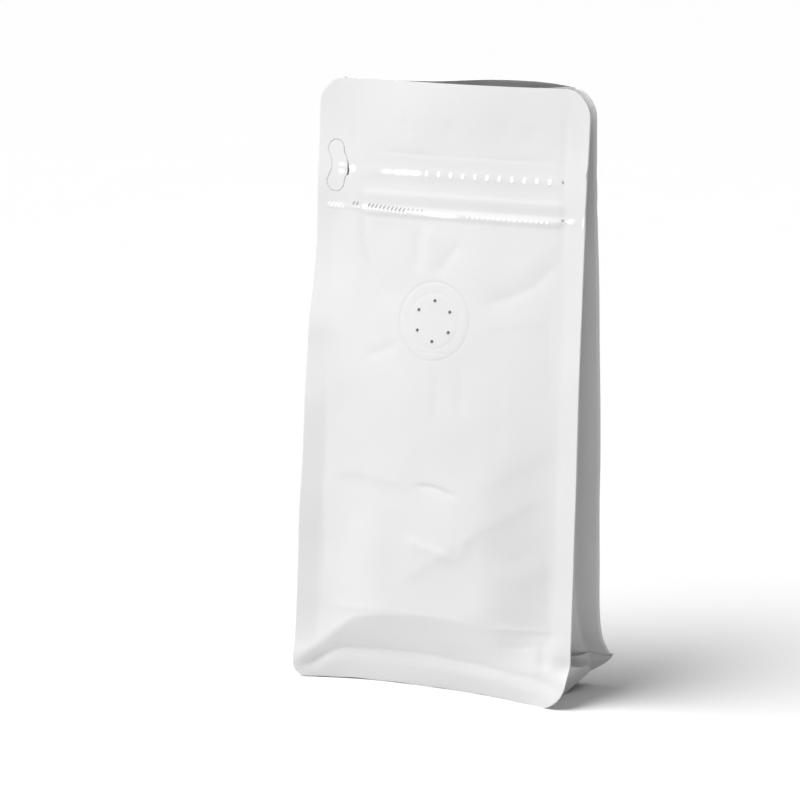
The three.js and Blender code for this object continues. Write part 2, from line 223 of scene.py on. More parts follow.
# Where the zipper ends left and right, and how its right end bows.
zipperBand = {"left": (-31.4, -29.8), "right": (39.6, 41.6), "bow": 0.12, "bowZ": 154, "bowCurve": 1.5}
bead = {"z": 150.2, "left": -44.5, "right": 44.5, "end": 0.6, "size": 0.13, "width": 0.8}
# The valve sits behind the film and shows as a disc with a fine welded edge.
valve = {"x": -2.6, "z": 117.0, "radius": 12.1, "rise": 0.05, "edge": 1.2,
         "line": 0.08, "lineOut": 0.1, "lineWidth": 0.28,
         "hub": 8.6, "hubRise": 0.05, "hubEdge": 0.9, "hubLine": 0.04, "hubLineWidth": 0.4,
         "foot": 0.05, "footZ": 107.2, "footHalf": (5, 8),
         "holes": 6, "holeCircle": 6.3, "holeRadius": 0.34, "holeDepth": 0.5, "holeEdge": (0.5, 1.25),
         "lip": 0.04, "lipAt": 1.9, "lipWidth": 0.3}
# The pull tab: two lobes and a waist, die-cut through the film and joined to the strip.
tab = {"topX": -41.7, "topZ": 168.25, "topRadius": 2.85, "lowX": -41.45, "lowZ": 157.95,
       "lowRadius": 3.05, "waistX": -40.4, "waistZ": 163.0, "waistHalfX": 2.7, "waistHalfZ": 3.6,
       "waistRound": 1.2, "neckX": -38.8, "neckZ": 162.5, "neckHalfX": 1.5, "neckHalfZ": 2.0,
       "neckRound": 0.4, "soft": 1.8, "neckSoft": 0.8, "cut": 0.15, "cutSharp": 0.4, "depth": 0.24,
       "plate": 0.20}
slit = {"line": [(-37.6, 164.4), (-37.3, 162.9), (-37.0, 161.6), (-37.2, 160.5)], "width": 0.42,
        "sharp": 0.5, "depth": 0.5}


def tabDistance(x, z):
    # below 0 inside the tab's outline
    def melt(a, b, soft):
        share = np.clip(0.5 + 0.5 * (b - a) / soft, 0, 1)
        return b + (a - b) * share - soft * share * (1 - share)

    top = np.hypot(x - tab["topX"], z - tab["topZ"]) - tab["topRadius"]
    low = np.hypot(x - tab["lowX"], z - tab["lowZ"]) - tab["lowRadius"]

    def softBox(middleX, middleZ, halfX, halfZ, rounding):
        aside = np.abs(x - middleX) - halfX + rounding
        above = np.abs(z - middleZ) - halfZ + rounding
        return np.hypot(np.maximum(aside, 0), np.maximum(above, 0)) \
            + np.minimum(np.maximum(aside, above), 0) - rounding

    waist = softBox(tab["waistX"], tab["waistZ"], tab["waistHalfX"], tab["waistHalfZ"],
                    tab["waistRound"])
    neck = softBox(tab["neckX"], tab["neckZ"], tab["neckHalfX"], tab["neckHalfZ"],
                   tab["neckRound"])
    body = melt(melt(top, waist, tab["soft"]), low, tab["soft"])
    return melt(body, neck, tab["neckSoft"])


# Painted highlights: where the pressed film catches the light, its base colour is painted near white.
# Each is (x, z, half length, half height, turn, share).
paintedHighlights = [(-22.6, 162.2, 3.0, 1.15, 0, 0.45), (-18.6, 162.2, 2.0, 1.15, 0, 0.8),
          (-15.8, 162.3, 2.6, 1.2, 0, 0.85), (-12.2, 162.3, 2.9, 1.15, 0, 0.9),
          (-39.4, 163.5, 1.5, 0.75, 0, 1.0), (-39.4, 161.4, 1.4, 0.8, 0, 1.0),
          (-35.4, 162.4, 1.5, 1.5, 0, 1.0), (-30.3, 150.8, 1.1, 0.95, 0, 1.0),
          (-10.5, 150.05, 5.5, 0.45, 1.5, 0.8), (-3.0, 149.75, 8.4, 0.85, 1.6, 1.0),
          (20, 149.8, 17, 0.8, 0, 0.25), (43.0, 150.6, 1.5, 1.1, 0, 1.0),
          (-41, 150.6, 4.0, 1.0, 0, 0.3)]
paintedHighlightEdge = (0.45, 1.0)


def paintedHighlightMask(x, z):
    total = np.zeros(np.shape(x))
    for middleX, middleZ, halfX, halfZ, turn, share in paintedHighlights:
        slope = math.radians(turn)
        along = (x - middleX) * math.cos(slope) - (z - middleZ) * math.sin(slope)
        over = (x - middleX) * math.sin(slope) + (z - middleZ) * math.cos(slope)
        spot = 1 - smoothStep(np.hypot(along / halfX, over / halfZ), *paintedHighlightEdge)
        total = np.maximum(total, share * spot)
    return total


def holeCentres():
    for index in range(valve["holes"]):
        angle = math.radians(90 + 360 * index / valve["holes"])
        yield (valve["x"] + valve["holeCircle"] * math.cos(angle),
               valve["z"] + valve["holeCircle"] * math.sin(angle))


# How round a fold's crest is, how far its ends taper, and what is left at the very end.
foldShape = {"round": 0.35, "taper": 0.25, "past": 0.001, "atEnd": 0.05}


def foldRelief(x, z, folds):
    taper, past = foldShape["taper"], foldShape["past"]
    total = np.zeros(np.shape(x))
    for line, size, below, *above in folds:
        gap, side, along = distanceTo(x, z, line)
        width = np.where(side > 0, above[0] if above else below, below)
        soft = foldShape["round"] * width
        crest = np.exp(-(np.hypot(gap, soft) - soft) / width)
        fade = smoothStep(along, -past, taper) * (1 - smoothStep(along, 1 - taper, 1 + past))
        total += size * crest * blend(foldShape["atEnd"], 1, fade)
    return total


rippleSize = {"broad": 0.10, "fine": 0.035, "frontTurn": 0.6, "backTurn": 2.2}
sealBend = 0.006


def ripple(x, z, turn):
    # the slow unevenness of a film that isn't quite flat, as waves of 30 to 120 mm
    across = np.sin(x * 0.130 + 1.3 * np.sin(z * 0.052 + turn) + turn)
    upward = np.sin(z * 0.094 + 1.1 * np.sin(x * 0.071 + 2.1 * turn) + 1.7 * turn)
    slanting = np.sin(x * 0.21 - z * 0.17 + 3.3 * turn + np.sin(z * 0.11))
    return rippleSize["broad"] * across * upward + rippleSize["fine"] * slanting


def nearSeal(x):
    # 0 at the edge of a fin, 1 from its seal line inwards, with a soft bend between
    share = (halfWidth - np.abs(x)) / pouch["seal"]
    return share - 0.5 * (share - 1 + np.sqrt((share - 1) ** 2 + sealBend))


def frontBare(x, z):
    # the front film without its folds, zipper and valve
    left = blend(frontLeft(z), frontCalm(z), smoothStep(x + halfWidth, *front["calmFrom"]))
    seam = blend(left, frontRight(z), x / pouch["width"] + 0.5)
    flareTop = front["finFlareTop"]
    flareLeft = blend(front["finFlareLeft"], flareTop, smoothStep(z, *front["flareEndsLeft"]))
    flareRight = blend(front["finFlareRight"], flareTop, smoothStep(z, *front["flareEndsRight"]))
    flare = blend(flareLeft, flareRight, smoothStep(x, *front["flareAcross"])) \
        * smoothStep(z, *front["flareFrom"])
    panel = seam + flare * nearSeal(x)
    panel = panel - front["mouthSwell"] * hump(x, front["mouthX"], front["mouthHalf"]) \
        * smoothStep(z, front["mouthFrom"], topZ)
    panel = panel - front["bodySwell"] * hump(x, 0, front["bodyHalfX"]) \
        * hump(z, front["bodyMiddle"], front["bodyHalf"])
    valley, arch = valleyLine(x), archLine(x)
    belly = blend(front["bellyLeft"], front["bellyRight"], smoothStep(x, *front["bellyAcross"]))
    fromSeal = sealLine + front["bellyStart"] - np.abs(x)
    panel = panel - belly * smoothStep(fromSeal, 0, front["bellyEdge"]) \
        * (1 - smoothStep(z, arch, front["bellyTop"]))
    rise = np.clip((z - valley) / (arch - valley), 0, 1)
    rise = rise * (1 + front["archCurve"] - front["archCurve"] * rise)
    under = np.clip((z - valley) / front["valleyTall"] + 1, 0, 1)
    skirt = hemDepth(x) - skirtLean(x) / front["leanOver"] * np.minimum(z, valley) \
        + front["valleyDepth"] * np.where(z < valley, under ** front["valleyCurve"], 1)
    skirt = blend(seam, skirt, smoothStep(halfWidth - np.abs(x), 0, pouch["seal"]))
    return np.where(z < valley, skirt, blend(skirt, panel, rise))


def frontZipper(x, z):
    bow = zipperBand["bow"] * np.abs(z - zipperBand["bowZ"]) ** zipperBand["bowCurve"]
    wide = smoothStep(x, *zipperBand["left"]) * (1 - smoothStep(x + bow, *zipperBand["right"]))
    ends = smoothStep(x, bead["left"] - bead["end"], bead["left"] + bead["end"]) \
        * (1 - smoothStep(x, bead["right"] - bead["end"], bead["right"] + bead["end"]))
    return wide * zipperSwell(z) + (1 - wide) * ends * bead["size"] * bell(z, bead["z"], bead["width"])


def frontValve(x, z):
    r = np.hypot(x - valve["x"], z - valve["z"])
    disc = valve["rise"] * (1 - smoothStep(r, valve["radius"] - valve["edge"], valve["radius"]))
    line = -valve["line"] * bell(r, valve["radius"] + valve["lineOut"], valve["lineWidth"])
    hub = valve["hubRise"] * (1 - smoothStep(r, valve["hub"] - valve["hubEdge"], valve["hub"])) \
        - valve["hubLine"] * bell(r, valve["hub"], valve["hubLineWidth"])
    foot = -valve["foot"] * bell(z, valve["footZ"], valve["hubLineWidth"]) \
        * (1 - smoothStep(np.abs(x - valve["x"]), *valve["footHalf"]))
    total = disc + line + hub + foot
    holeFrom, holeTo = (valve["holeRadius"] * share for share in valve["holeEdge"])
    lipRadius = valve["holeRadius"] * valve["lipAt"]
    for hx, hz in holeCentres():
        hole = np.hypot(x - hx, z - hz)
        total = total - valve["holeDepth"] * (1 - smoothStep(hole, holeFrom, holeTo))
        total = total + valve["lip"] * bell(hole, lipRadius, valve["lipWidth"])
    return total


# Where the film lies calmer: at its edges, over the valve and along the zipper.
calm = {"edge": (1.5, 8.5), "rippleAtEdge": 0.25, "foldAtEdge": 0.2, "valve": 0.85, "valveWidth": 11,
        "zipper": 0.8, "zipperFrom": (144, 147), "zipperTo": (168, 170)}


def frontSkin(x, z, withTab=True):
    # the whole outer surface of the front panel
    inner = smoothStep(halfWidth - np.abs(x), *calm["edge"])
    quiet = 1 - calm["valve"] * bell(np.hypot(x - valve["x"], z - valve["z"]), 0, calm["valveWidth"])
    quiet = quiet * (1 - calm["zipper"] * smoothStep(z, *calm["zipperFrom"])
                     * (1 - smoothStep(z, *calm["zipperTo"])))
    soft = ripple(x, z, rippleSize["frontTurn"]) * blend(calm["rippleAtEdge"], 1, inner) * quiet
    folds = foldRelief(x, z, frontFolds) * blend(calm["foldAtEdge"], 1, inner)
    y = frontBare(x, z) - folds - soft - frontZipper(x, z) - frontValve(x, z)
    if withTab:
        cutFrom = tab["cut"] * tab["cutSharp"]
        y = y + tab["depth"] * (1 - smoothStep(tabDistance(x, z), cutFrom, tab["cut"]))
        y = y + slit["depth"] * slitShare(x, z)
    return y


def slitShare(x, z):
    # 1 in the slit beside the tab and 0 away from it
    gap = distanceTo(x, z, slit["line"])[0]
    return 1 - smoothStep(gap, slit["width"] * slit["sharp"], slit["width"])


def frontHem(x, z):
    wavy = front["hemWave"] * np.sin(x * front["hemWaveTurns"] + 1) \
        * (1 - smoothStep(z, 0, front["hemWaveTall"]))
    return z + (hemRise(x) + wavy) * (1 - smoothStep(z, 0, pouch["skirt"]))


# The back panel. Its foot bends in and out once, and its right fin is pinched at the foot.
back = {"mouthSwell": 5.2, "bodySwell": 3.4, "bodyHalf": 78, "skirtInset": 3.0, "skirtFade": (13, 30),
        "flare": 1.3, "flareFrom": (14, 34), "flareEnds": (120, 165), "flareFade": 0.75, "rimFrom": 176,
        "dent": 1.6, "dentZ": 13.4, "dentTall": 3.2, "dentCurve": 6,
        "bulge": 0.8, "bulgeZ": 24, "bulgeTall": 6, "bulgeCurve": 4, "footHalf": 46,
        "pinch": 1.3, "pinchZ": 5.4, "pinchSlope": 0.70, "pinchWidth": 0.6, "pinchFrom": (39.5, 43)}
# how far the back rim stands above the front one
rimLift = smoothLine([
    (-48, 0), (-35, -0.15), (-20, -0.35), (-9, -0.25), (0, 0.3), (8, 0.85), (17, 1.1), (31, 0.95),
    (37, 0.5), (42, 0.15), (48, 0)
])
backFolds = [
    ([(-38, 139), (-24, 133), (-8, 134), (6, 129)], -0.45, 2.2),
    ([(-36, 120), (-20, 112), (0, 110)], 0.35, 3.0),
    ([(38, 146), (26, 134), (12, 126), (-4, 122)], -0.50, 2.4),
    ([(40, 98), (22, 88), (4, 84), (-14, 74)], -0.48, 2.8),
    ([(-40, 92), (-28, 80), (-22, 64)], 0.32, 2.6),
    ([(-30, 60), (-10, 56), (6, 58), (20, 54)], -0.55, 1.5),
    ([(36, 62), (28, 46), (12, 34)], 0.38, 2.8),
    ([(-36, 40), (-18, 33), (2, 31)], -0.42, 2.2),
    ([(-10, 174), (-8, 162), (-9, 150)], -0.22, 1.8),
    ([(16, 176), (18, 163), (15, 151)], -0.20, 2.0),
    ([(-30, 26), (0, 24.5), (30, 26.5)], 0.40, 1.6),
]


def backSkin(x, z):
    y = blend(backLeft(z), backRight(z), x / pouch["width"] + 0.5)
    y = y - back["flare"] * nearSeal(x) * (1 - back["flareFade"] * smoothStep(z, *back["flareEnds"])) \
        * smoothStep(z, *back["flareFrom"])
    y = y + back["mouthSwell"] * hump(x, front["mouthX"], front["mouthHalf"]) \
        * smoothStep(z, front["mouthFrom"], topZ)
    y = y + back["bodySwell"] * hump(x, 0, halfWidth) * hump(z, front["bodyMiddle"], back["bodyHalf"])
    y = y - back["skirtInset"] * hump(x, 0, halfWidth) * (1 - smoothStep(z, *back["skirtFade"]))
    dent = hump(x, 0, back["footHalf"], back["dentCurve"]) * bell(z, back["dentZ"], back["dentTall"])
    bulge = hump(x, 0, back["footHalf"], back["bulgeCurve"]) * bell(z, back["bulgeZ"], back["bulgeTall"])
    y = y - back["dent"] * dent + back["bulge"] * bulge
    pinchZ = back["pinchZ"] + back["pinchSlope"] * (halfWidth - x)
    y = y + back["pinch"] * bell(z, pinchZ, back["pinchWidth"]) * smoothStep(x, *back["pinchFrom"])
    inner = smoothStep(halfWidth - np.abs(x), *calm["edge"])
    relief = foldRelief(x, z, backFolds) + ripple(x, z, rippleSize["backTurn"])
    return y + relief * blend(calm["foldAtEdge"], 1, inner)


# The skirt's back right corner stands off the ground, so its edge rises to the corner.
lifted = {"slopeY": 0.232, "slopeX": 0.55, "x": 41.0, "y": -3.7, "keep": 13.0}


def liftHem(x, y, z):
    edge = np.maximum(lifted["slopeX"] * (x - lifted["x"]) + lifted["slopeY"] * (y - lifted["y"]), 0)
    return z + edge * np.clip(1 - z / lifted["keep"], 0, 1)


def backRim(x, z):
    return z + rimLift(x) * smoothStep(z, back["rimFrom"], topZ)


# A gusset: welded strip, half a fold in, half a fold out, welded strip. At its foot it stands
# flat over the skirt up to a slanting crease, and opens into the fold above that.
sideFold = {"standing": 2.4, "standAt": (0.45, 0.55), "tucked": 2.2, "foldRadius": 0.7, "weld": 0.02,
            "creaseFront": 16.0, "creaseRight": 2.6, "creaseLeft": 9.5,
            "opensFront": 10.0, "opensRight": 4.5, "opensLeft": 9.0, "openCurve": 0.5,
            "dent": 1.0, "dentZ": 49, "dentTall": 3.5, "dentAt": 0.74, "dentWide": 0.12,
            "foldDrop": 1.4, "dropAcross": (0.25, 0.7), "dropFrom": 168,
            "wave": 0.22, "waveShare": 0.6, "waveTurns": (0.21, 0.47), "waveLean": (3, 7),
            "columns": 30, "strip": 6}


def arcReach(z, topRadius, lowRadius):
    # half the width of a fin at height z, with its corners rounded
    fromTop = np.clip(topRadius - (topZ - z), 0, topRadius)
    fromLow = np.clip(lowRadius - z, 0, lowRadius)
    top = topRadius - np.sqrt(np.maximum(topRadius ** 2 - fromTop ** 2, 0))
    low = lowRadius - np.sqrt(np.maximum(lowRadius ** 2 - fromLow ** 2, 0))
    return halfWidth - np.maximum(top, low)


def gussetPoint(hand, u, z):
    # u runs from -1 at the front fin's edge over 0 at the fold to 1 at the back fin's edge
    free = pouch["gusset"] / (pouch["seal"] + pouch["gusset"])
    size = np.abs(u)
    inStrip = np.clip((size - free) / (1 - free), 0, 1)
    share = np.clip(size / free, 0, 1)
    lowRadius = pouch["tuckedCorner"]
    creaseBack, opensBack = sideFold["creaseLeft"], sideFold["opensLeft"]
    if hand > 0:
        lowRadius = np.where(u < 0, pouch["corner"], pouch["backCorner"])
        creaseBack, opensBack = sideFold["creaseRight"], sideFold["opensRight"]
    finX = np.minimum(sealLine + pouch["seal"] * inStrip, arcReach(z, pouch["corner"], lowRadius))
    lineX = np.full(np.shape(z), hand * sealLine)
    gap = pouch["finThickness"] - sideFold["weld"]
    frontY = frontSkin(hand * finX, z, False) + gap
    backY = backSkin(hand * finX, z) - gap
    lineFront = frontSkin(lineX, z, False) + gap
    lineBack = backSkin(lineX, z) - gap
    deep = np.sqrt(np.maximum(pouch["gusset"] ** 2 - ((lineBack - lineFront) / 2) ** 2, 1))
    along = 0.5 + 0.5 * np.sign(u) * share
    crease = blend(sideFold["creaseFront"], creaseBack, along)
    rise = np.clip((z - crease) / blend(sideFold["opensFront"], opensBack, along), 0, 1)
    opening = rise * (1 + sideFold["openCurve"] - sideFold["openCurve"] * rise)
    rounding = sideFold["foldRadius"] / pouch["gusset"]
    folded = np.clip(1 - np.hypot(share, rounding) + rounding * share, 0, 1)
    slow, quick = (np.sin(z * turns + lean * along)
                   for turns, lean in zip(sideFold["waveTurns"], sideFold["waveLean"]))
    wave = (sideFold["wave"] * slow + sideFold["waveShare"] * sideFold["wave"] * quick) \
        * np.sin(math.pi * share) * opening
    wave = wave - sideFold["dent"] * bell(z, sideFold["dentZ"], sideFold["dentTall"]) \
        * bell(along, sideFold["dentAt"], sideFold["dentWide"])
    standing = blend(sideFold["tucked"], -sideFold["standing"], smoothStep(z, 0, crease)) \
        * hump(along, *sideFold["standAt"])
    bent = sealLine - blend(standing, deep * folded, opening) + wave
    x = np.where(inStrip > 0, finX, bent)
    y = np.where(inStrip > 0, np.where(u < 0, frontY, backY), blend(lineFront, lineBack, along))
    return hand * x, y


# Making a piece.
def rowsOf(*runs):
    # heights from runs of (low, high, step), ending at the last high
    rows = []
    for low, high, step in runs:
        count = max(1, round((high - low) / step))
        rows += [low + (high - low) * i / count for i in range(count)]
    return rows + [runs[-1][1]]


def cornerRows(radius, steps, atTop):
    # heights that step evenly round a rounded corner
    turns = [math.pi / 2 * i / steps for i in range(steps)]
    if atTop:
        return [topZ - radius * (1 - math.sin(turn)) for turn in turns] + [topZ]
    return [radius * (1 - math.cos(turn)) for turn in turns]


def sheetOf(columns, rows):
    # a flat grid whose lines stand at the given x and z
    bm = bmesh.new()
    bmesh.ops.create_grid(bm, x_segments=len(columns) - 1, y_segments=len(rows) - 1, size=1)
    across = sorted({round(v.co.x, 5) for v in bm.verts})
    up = sorted({round(v.co.y, 5) for v in bm.verts})
    xOf = dict(zip(across, columns))
    zOf = dict(zip(up, rows))
    for v in bm.verts:
        v.co = (xOf[round(v.co.x, 5)], 0, zOf[round(v.co.y, 5)])
    return bm


def places(bm):
    return np.array([v.co for v in bm.verts], float).T


def moveTo(bm, x, y, z):
    for v, px, py, pz in zip(bm.verts, x, y, z):
        v.co = (px, py, pz)


def faceOut(bm, out):
    # turn the faces so that most of them look along out
    bmesh.ops.recalc_face_normals(bm, faces=bm.faces)
    if sum(f.normal.dot(Vector(out)) * f.calc_area() for f in bm.faces) < 0:
        bmesh.ops.reverse_faces(bm, faces=bm.faces)


def slab(columns, rows, thick, behind):
    # a flat tape that lies this far behind the film's face
    bm = sheetOf(columns, rows)
    grown = bmesh.ops.extrude_face_region(bm, geom=list(bm.faces))["geom"]
    bmesh.ops.translate(bm, vec=(0, thick, 0),
                        verts=[g for g in grown if isinstance(g, bmesh.types.BMVert)])
    bmesh.ops.translate(bm, vec=(0, behind, 0), verts=bm.verts)
    return bm


def refine(bm, inside, cuts):
    x, y, z = places(bm)
    bm.verts.ensure_lookup_table()
    near = inside(x, z)
    edges = [e for e in bm.edges if near[e.verts[0].index] and near[e.verts[1].index]]
    bmesh.ops.subdivide_edges(bm, edges=edges, cuts=cuts, use_grid_fill=True)
    bm.verts.index_update()


def meshOf(name, bm):
    mesh = bpy.data.meshes.new(name)
    bm.to_mesh(mesh)
    bm.free()
    return mesh


def inScene(name, data):
    made = bpy.data.objects.new(name, data)
    bpy.context.scene.collection.objects.link(made)
    return made


def finished(name, bm, materials, replaces=()):
    bmesh.ops.transform(bm, matrix=Matrix.Scale(toMetres, 4), verts=bm.verts)
    mesh = meshOf(name, bm)
    mesh.polygons.foreach_set("use_smooth", [True] * len(mesh.polygons))
    piece = inScene(name, mesh)
    for material in materials:
        mesh.materials.append(material)
    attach(piece, "root")
    if replaces:
        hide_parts(*replaces)
    return piece


def thicken(piece):
    # film grows inwards, and its inner side takes the second material
    wall = piece.modifiers.new("wall", "SOLIDIFY")
    wall.thickness = pouch["film"] * toMetres
    wall.offset = -1
    wall.use_quality_normals = True
    wall.material_offset = 1


def mark(piece, name, values):
    attribute = piece.data.attributes.new(name, "FLOAT", "POINT")
    attribute.data.foreach_set("value", np.asarray(values, np.float32))


# Materials.
class Wire:
    # a shader socket that can be added, multiplied and so on
    def __init__(self, finish, socket):
        self.finish = finish
        self.socket = socket

    def math(self, operation, first, second):
        return self.finish.add("ShaderNodeMath", {"operation": operation}, {0: first, 1: second})

    def __add__(self, other):
        return self.math("ADD", self, other)

    def __radd__(self, other):
        return self.math("ADD", other, self)

    def __sub__(self, other):
        return self.math("SUBTRACT", self, other)

    def __rsub__(self, other):
        return self.math("SUBTRACT", other, self)

    def __mul__(self, other):
        return self.math("MULTIPLY", self, other)

    def __rmul__(self, other):
        return self.math("MULTIPLY", other, self)


class Finish:
    def __init__(self, name, **shader):
        self.material = bpy.data.materials.new(name)
        self.material.use_nodes = True
        self.nodes = self.material.node_tree.nodes
        self.links = self.material.node_tree.links
        self.shader = self.nodes["Principled BSDF"]
        for socket, value in shader.items():
            self.shader.inputs[socket.replace("_", " ")].default_value = value

    def add(self, kind, settings=None, sockets=None, output=0):
        node = self.nodes.new(kind)
        for key, value in (settings or {}).items():
            setattr(node, key, value)
        for key, value in (sockets or {}).items():
            self.feed(node.inputs[key], value)
        return Wire(self, node.outputs[output])

    def feed(self, socket, value):
        if isinstance(value, Wire):
            self.links.new(value.socket, socket)
        else:
            socket.default_value = value

    def set(self, name, value):
        self.feed(self.shader.inputs[name], value)

    def noise(self, scale, detail=3):
        return self.add("ShaderNodeTexNoise", {"noise_dimensions": "3D"},
                        {"Vector": self.add("ShaderNodeTexCoord", output="Object"), "Scale": scale,
                         "Detail": detail})

    def mix(self, factor, first, second):
        return self.add("ShaderNodeMix", {"data_type": "RGBA"}, {0: factor, 6: first, 7: second}, 2)

    def range(self, value, low, high):
        # 0 at low and 1 at high
        return self.add("ShaderNodeMapRange", {}, {"Value": value, "From Min": low, "From Max": high})

    def attribute(self, name):
        return self.add("ShaderNodeAttribute", {"attribute_name": name}, output="Fac")

    def bump(self, height, strength, distance):
        self.set("Normal", self.add("ShaderNodeBump", {}, {
            "Height": height, "Strength": strength, "Distance": distance}, "Normal"))


# Matt white laminate, with a faint cloud, a fine grain and a slow peel in its polish. It also holds a
# near white for painted highlights and a dark grey for painted shade along the cuts.
filmLook = {"white": (0.668, 0.668, 0.668, 1), "cloudy": (0.650, 0.650, 0.650, 1),
            "paintedHighlight": (0.98, 0.98, 0.98, 1), "paintedShade": (0.20, 0.20, 0.20, 1), "specular": 0.38,
            "cloud": 45, "cloudEdge": (0.35, 0.65), "grain": 900, "peel": 180, "grainBump": 0.4,
            "roughness": 0.50, "grainPolish": 0.10, "cloudPolish": 0.12, "shinePolish": 0.5,
            "bump": 0.10, "bumpDepth": 0.0002}
foilLook = {"dark": (0.60, 0.60, 0.61, 1), "light": (0.72, 0.72, 0.73, 1), "cloud": 60, "grain": 1400,
            "roughness": 0.30, "cloudPolish": 0.16, "grainBump": 0.3, "bump": 0.15, "bumpDepth": 0.0004}
glossLook = {"coat": 0.3, "coatRoughness": 0.1, "cloud": 220, "darker": 0.92, "cloudPolish": 0.12,
             "grain": 1200, "bump": 0.08, "bumpDepth": 0.0002}


def filmFinish(name, marked):
    # a marked film also reads two attributes of its own points: a painted highlight that whitens its
    # base colour, and painted shade that darkens it along the cuts
    film = Finish(name, Specular_IOR_Level=filmLook["specular"])
    cloud = film.noise(filmLook["cloud"], 4)
    grain = film.noise(filmLook["grain"])
    peel = film.noise(filmLook["peel"], 2)
    white = film.mix(film.range(cloud, *filmLook["cloudEdge"]), filmLook["white"], filmLook["cloudy"])
    polish = filmLook["roughness"] + filmLook["grainPolish"] * (grain - 0.5) \
        + filmLook["cloudPolish"] * (cloud - 0.5)
    if marked:
        # painted highlight: the base colour is painted near white where the pressed film catches the
        # light
        white = film.mix(film.attribute("paintedHighlight"), white, filmLook["paintedHighlight"])
        # painted shade: the base colour darkens along the cuts, the holes and the slit
        white = film.mix(film.attribute("cut"), white, filmLook["paintedShade"])
        polish = polish * (1 - filmLook["shinePolish"] * film.attribute("paintedHighlight"))
    film.set("Base Color", white)
    film.set("Roughness", polish)
    film.bump(grain * filmLook["grainBump"] + peel, filmLook["bump"], filmLook["bumpDepth"])
    return film.material


def foilFinish(name):
    foil = Finish(name, Metallic=1.0)
    cloud = foil.noise(foilLook["cloud"], 4)
    grain = foil.noise(foilLook["grain"], 2)
    foil.set("Base Color", foil.mix(cloud, foilLook["dark"], foilLook["light"]))
    foil.set("Roughness", foilLook["roughness"] + foilLook["cloudPolish"] * cloud)
    foil.bump(grain * foilLook["grainBump"] + cloud, foilLook["bump"], foilLook["bumpDepth"])
    return foil.material


def glossFinish(name, colour, roughness, metallic=0.0):
    gloss = Finish(name, Coat_Weight=glossLook["coat"], Coat_Roughness=glossLook["coatRoughness"],
                   Metallic=metallic)
    cloud = gloss.noise(glossLook["cloud"])
    darker = tuple(glossLook["darker"] * c for c in colour[:3]) + (1,)
    gloss.set("Base Color", gloss.mix(cloud, colour, darker))
    gloss.set("Roughness", roughness + glossLook["cloudPolish"] * (cloud - 0.5))
    gloss.bump(gloss.noise(glossLook["grain"], 2), glossLook["bump"], glossLook["bumpDepth"])
    return gloss.material


filmWhite = filmFinish("filmWhite", False)
filmMarked = filmFinish("filmFront", True)
foilLining = foilFinish("foilLining")
# painted highlight: glossy bumps whose near white base colour stands in for glints on the pressed film
paintedGlintWhite = glossFinish("paintedGlint", (0.97, 0.97, 0.97, 1), 0.22)
# painted shade: its gloss is real, but its dark grey base colour is painted shade and dark reflection in
# the pressed knurl, for the bead's dark bars and the strip's end mark
paintedShadeGrey = glossFinish("paintedShadeGrey", (0.40, 0.40, 0.40, 1), 0.45, 0.3)
valvePlastic = glossFinish("valvePlastic", (0.86, 0.86, 0.85, 1), 0.38)
zipperPlastic = glossFinish("zipperPlastic", (0.84, 0.85, 0.86, 1), 0.3)
print("materials made")


# Front panel: its rows and columns are closest where the relief is finest.
finMesh = {"rim": 1.5, "rimStep": 0.3, "step": 0.9}
crush = {"strip": 0.35, "stripZ": 165, "stripTall": 1.8,
         "zipper": 0.3, "zipperZ": 154, "zipperTall": 1.6}
closer = {"valve": 2, "hole": 0.95, "tab": 1.1, "tabCut": 0.42, "tabCutIn": 0.05,
          "boxes": [(-37.3, 162.4, 1.2, 2.4), (-35.2, 162.4, 2.4, 2.4)]}
# strength and reach of the painted shade along the tab's cut, the valve's ring and the holes
cutShade = {"tab": 0.22, "tabSharp": 0.8, "ring": 0.09, "ringOut": 0.15, "ringWide": 0.25,
           "holeEdge": (0.35, 0.75)}


def finColumns(step):
    rim = halfWidth - finMesh["rim"]
    edge = rowsOf((sealLine, rim, finMesh["step"]), (rim, halfWidth, finMesh["rimStep"]))
    return [-x for x in reversed(edge)] + rowsOf((-sealLine, sealLine, step))[1:-1] + edge


def cornerClamp(x, z, lowLeft, lowRight):
    # the crushed ends of the strip and the zipper pull the right edge in a little
    left = arcReach(z, pouch["corner"], lowLeft)
    right = arcReach(z, pouch["corner"], lowRight) \
        - crush["strip"] * bell(z, crush["stripZ"], crush["stripTall"]) \
        - crush["zipper"] * bell(z, crush["zipperZ"], crush["zipperTall"])
    return np.clip(x, -left, right)


topRows = cornerRows(pouch["corner"], 14, True)
lowRows = cornerRows(pouch["corner"], 12, False)
frontRows = lowRows + rowsOf(
    (pouch["corner"], 26, 0.7), (26, 62, 0.95), (62, 67, 0.5), (67, 144, 0.95), (144, 153, 0.36),
    (153, 157, 0.7), (157, 160.6, 0.45), (160.6, 164, 0.3), (164, 166.5, 0.6), (166.5, 169.5, 0.4),
    (169.5, cornerTop, 0.95))[:-1] + topRows
bm = sheetOf(finColumns(0.95), frontRows)
refine(bm, lambda x, z: np.hypot(x - valve["x"], z - valve["z"]) < valve["radius"] + closer["valve"], 2)
for hx, hz in holeCentres():
    refine(bm, lambda x, z: np.hypot(x - hx, z - hz) < closer["hole"], 1)
refine(bm, lambda x, z: np.abs(tabDistance(x, z)) < closer["tab"], 2)
refine(bm, lambda x, z: np.abs(tabDistance(x, z) + closer["tabCutIn"]) < closer["tabCut"], 2)
for boxX, boxZ, halfX, halfZ in closer["boxes"]:
    refine(bm, lambda x, z: (np.abs(x - boxX) < halfX) & (np.abs(z - boxZ) < halfZ), 1)
x, y, z = places(bm)
x = cornerClamp(x, z, pouch["tuckedCorner"], pouch["corner"])
moveTo(bm, x, frontSkin(x, z), frontHem(x, z))
bmesh.ops.remove_doubles(bm, verts=bm.verts, dist=mergeWithin)
faceOut(bm, (0, -1, 0))
